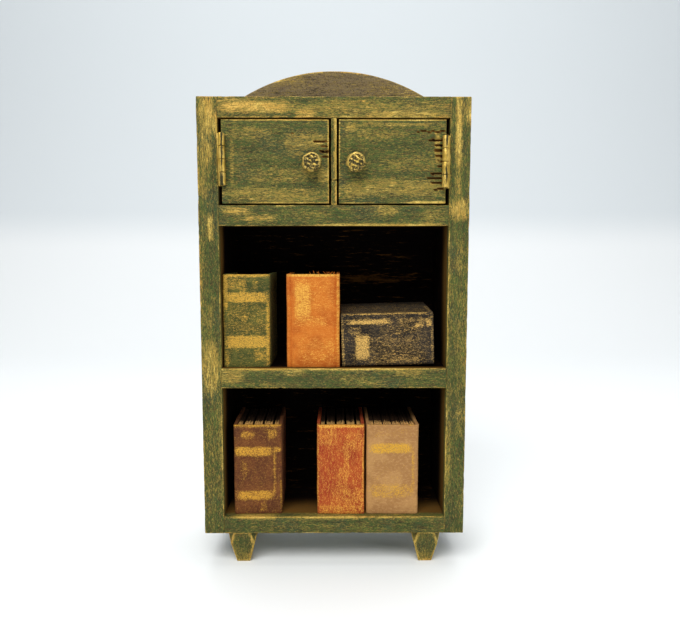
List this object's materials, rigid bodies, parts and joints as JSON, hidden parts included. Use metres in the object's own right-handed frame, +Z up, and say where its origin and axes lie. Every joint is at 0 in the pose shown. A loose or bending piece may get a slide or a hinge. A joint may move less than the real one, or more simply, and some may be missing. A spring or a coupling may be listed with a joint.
{
  "type": "miniature bookcase",
  "caption": "Dolls-house bookcase with a two-door cupboard over two open compartments of loose books, an arched back and tapered feet.",
  "frame": {"origin": "on the floor under the feet, at the middle of the whole width and of the whole depth, knobs included", "axes": "+Z up, -Y out of the front where the doors are, +X to the right as seen from the front"},
  "size_m": [0.066, 0.0312, 0.1302],
  "materials": {
    "green_paint": "dry-brushed paint, green over brown with gilt edges",
    "aged_paint": "dry-brushed paint, olive and gilt",
    "hinge_brass": "aged",
    "knob_gilt": "aged, cast",
    "cover_green": "fine-woven wrap with gilt rubbed on",
    "cover_orange": "fine-woven wrap with gilt rubbed on",
    "cover_charcoal": "fine-woven wrap with gilt rubbed on",
    "cover_brown": "fine-woven wrap with gilt rubbed on",
    "cover_red": "fine-woven wrap with gilt rubbed on",
    "cover_tan": "fine-woven wrap with gilt rubbed on",
    "page_paper": "dark, gilt-flecked edges"
  },
  "bodies": {
    "carcass": {"side_left": "green_paint", "side_right": "green_paint", "top_board": "green_paint", "cupboard_floor": "green_paint", "middle_shelf": "green_paint", "bottom_board": "green_paint", "back_panel": "aged_paint", "divider_upper": "green_paint", "divider_lower": "green_paint", "foot_front_left": "aged_paint", "foot_front_right": "aged_paint", "foot_back_left": "aged_paint", "foot_back_right": "aged_paint", "hinge_left_frame_leaf": "hinge_brass", "hinge_left_pin": "hinge_brass", "hinge_right_frame_leaf": "hinge_brass", "hinge_right_pin": "hinge_brass"},
    "door_left": {"door_left": "green_paint", "knob_left": "knob_gilt", "hinge_left_door_leaf": "hinge_brass"},
    "door_right": {"door_right": "green_paint", "knob_right": "knob_gilt", "hinge_right_door_leaf": "hinge_brass"},
    "book_green": {"book_green_cover": "cover_green", "book_green_pages": "page_paper"},
    "book_orange": {"book_orange_cover": "cover_orange", "book_orange_pages": "page_paper"},
    "book_charcoal": {"book_charcoal_cover": "cover_charcoal", "book_charcoal_pages": "page_paper"},
    "book_brown": {"book_brown_cover": "cover_brown", "book_brown_pages": "page_paper"},
    "book_red": {"book_red_cover": "cover_red", "book_red_pages": "page_paper"},
    "book_tan": {"book_tan_cover": "cover_tan", "book_tan_pages": "page_paper"}
  },
  "joints": [
    {"name": "door_left_hinge", "type": "hinge", "parent": "carcass", "child": "door_left", "pos_m": [-0.02685, -0.01273, 0.10205], "axis": [0, 0, -1], "range_deg": [0, 170]},
    {"name": "door_right_hinge", "type": "hinge", "parent": "carcass", "child": "door_right", "pos_m": [0.02685, -0.01273, 0.10205], "axis": [0, 0, 1], "range_deg": [0, 170]},
    {"name": "book_green_out", "type": "slide", "parent": "carcass", "child": "book_green", "axis": [0, -1, 0], "range_m": [0, 0.024]},
    {"name": "book_orange_out", "type": "slide", "parent": "carcass", "child": "book_orange", "axis": [0, -1, 0], "range_m": [0, 0.024]},
    {"name": "book_charcoal_out", "type": "slide", "parent": "carcass", "child": "book_charcoal", "axis": [0, -1, 0], "range_m": [0, 0.024]},
    {"name": "book_brown_out", "type": "slide", "parent": "carcass", "child": "book_brown", "axis": [0, -1, 0], "range_m": [0, 0.024]},
    {"name": "book_red_out", "type": "slide", "parent": "carcass", "child": "book_red", "axis": [0, -1, 0], "range_m": [0, 0.024]},
    {"name": "book_tan_out", "type": "slide", "parent": "carcass", "child": "book_tan", "axis": [0, -1, 0], "range_m": [0, 0.024]}
  ]
}
